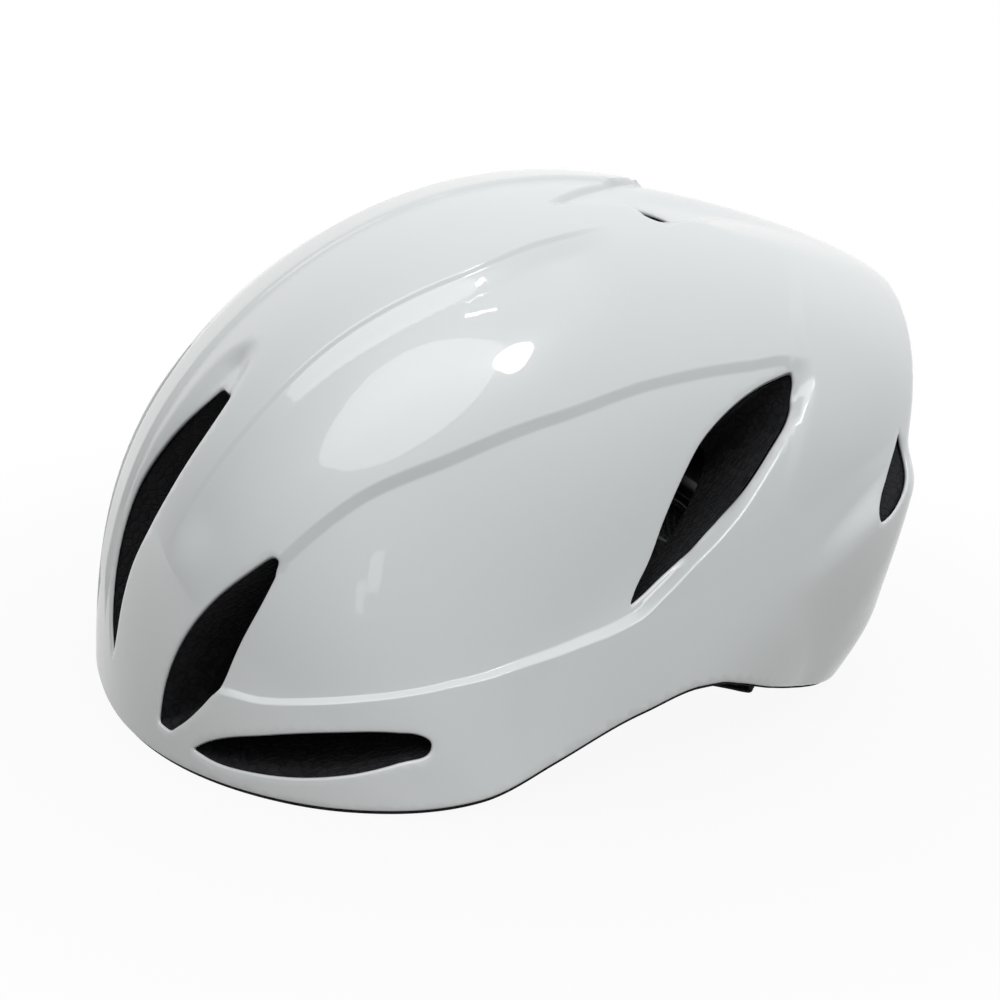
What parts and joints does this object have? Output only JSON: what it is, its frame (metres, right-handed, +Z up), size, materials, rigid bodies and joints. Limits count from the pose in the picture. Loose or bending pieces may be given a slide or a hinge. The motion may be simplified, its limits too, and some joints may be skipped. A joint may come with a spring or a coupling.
{
  "type": "road bike helmet",
  "caption": "Aero road cycling helmet: glossy shell over a vented foam liner, fit pads, head belt with dial, webbing straps, dividers and sliding magnetic buckle.",
  "frame": {"origin": "on the surface it rests on, under the middle of its bounding box", "axes": "+Z up, -Y out of the front, +X the wearer's left"},
  "size_m": [0.2227, 0.2748, 0.1672],
  "materials": {
    "gloss_white": "white in-mould shell under a clear coat",
    "foam_black": "black expanded foam with a fine bead texture",
    "pad_cloth": "brushed knit over soft foam",
    "hook_tape": "hook tape",
    "webbing": "flat woven webbing",
    "moulded_black": "fine spark texture",
    "nylon_black": "satin moulded nylon",
    "knob_black": "soft-touch overmould",
    "magnet_steel": "plated",
    "screw_steel": "plated",
    "spring_steel": "bright spring steel"
  },
  "bodies": {
    "root": {"outer_shell": "gloss_white", "foam_liner": "foam_black", "brow_pad": "pad_cloth", "crown_pad": "pad_cloth", "side_pad_left": "pad_cloth", "side_pad_right": "pad_cloth", "hook_discs": "hook_tape", "strap_anchor_front_left": "moulded_black", "strap_anchor_front_right": "moulded_black", "strap_anchor_rear_left": "moulded_black", "strap_anchor_rear_right": "moulded_black", "front_strap_left": "webbing", "front_strap_right": "webbing", "rear_strap_left": "webbing", "rear_strap_right": "webbing", "chin_strap_left": "webbing", "chin_strap_right": "webbing", "strap_divider_left": "moulded_black", "strap_divider_right": "moulded_black", "buckle_socket": "moulded_black", "socket_magnet": "magnet_steel", "temple_anchor_left": "moulded_black", "temple_anchor_right": "moulded_black", "height_clip": "moulded_black"},
    "cradle": {"temple_guide_left": "nylon_black", "temple_guide_right": "nylon_black", "dial_housing": "moulded_black", "dial_cover": "moulded_black", "cover_screws": "screw_steel", "click_spring": "spring_steel", "nape_pad": "pad_cloth", "height_tongue": "nylon_black"},
    "dial": {"dial_knob": "knob_black", "dial_pinion": "moulded_black"},
    "arm_left": {"belt_arm_left": "nylon_black"},
    "arm_right": {"belt_arm_right": "nylon_black"},
    "buckle": {"buckle_hook": "moulded_black", "hook_magnet": "magnet_steel"},
    "lever_left": {"divider_lever_left": "moulded_black"},
    "lever_right": {"divider_lever_right": "moulded_black"}
  },
  "joints": [
    {"name": "cradle_tilt", "type": "hinge", "parent": "root", "child": "cradle", "pos_m": [0, -0.0052, 0.024], "axis": [1, 0, 0], "range_deg": [-12, 0]},
    {"name": "dial_turn", "type": "hinge", "parent": "cradle", "child": "dial", "pos_m": [0, -0.0052, 0.024], "axis": [0, -0.9781, -0.2079], "range_deg": [0, 222.82]},
    {"name": "arm_left_slide", "type": "hinge", "parent": "cradle", "child": "arm_left", "pos_m": [0, 0.00556, 0.02629], "axis": [0, -0.2079, 0.9781], "range_deg": [0, 11.63]},
    {"name": "arm_right_slide", "type": "hinge", "parent": "cradle", "child": "arm_right", "pos_m": [0, 0.00556, 0.02629], "axis": [0, -0.2079, 0.9781], "range_deg": [-11.63, 0]},
    {"name": "buckle_slide", "type": "slide", "parent": "root", "child": "buckle", "axis": [1, 0, 0], "range_m": [0, 0.016], "deforming": ["chin_strap_right"]},
    {"name": "lever_left_lift", "type": "hinge", "parent": "root", "child": "lever_left", "pos_m": [0.032, 0.0168, 0.0068], "axis": [0, -1, 0], "range_deg": [0, 100]},
    {"name": "lever_right_lift", "type": "hinge", "parent": "root", "child": "lever_right", "pos_m": [-0.032, 0.0168, 0.0068], "axis": [0, 1, 0], "range_deg": [0, 100]}
  ],
  "couplings": [
    {"joint": "arm_left_slide", "follows": "dial_turn", "ratio": 0.052174},
    {"joint": "arm_right_slide", "follows": "dial_turn", "ratio": -0.052174}
  ]
}
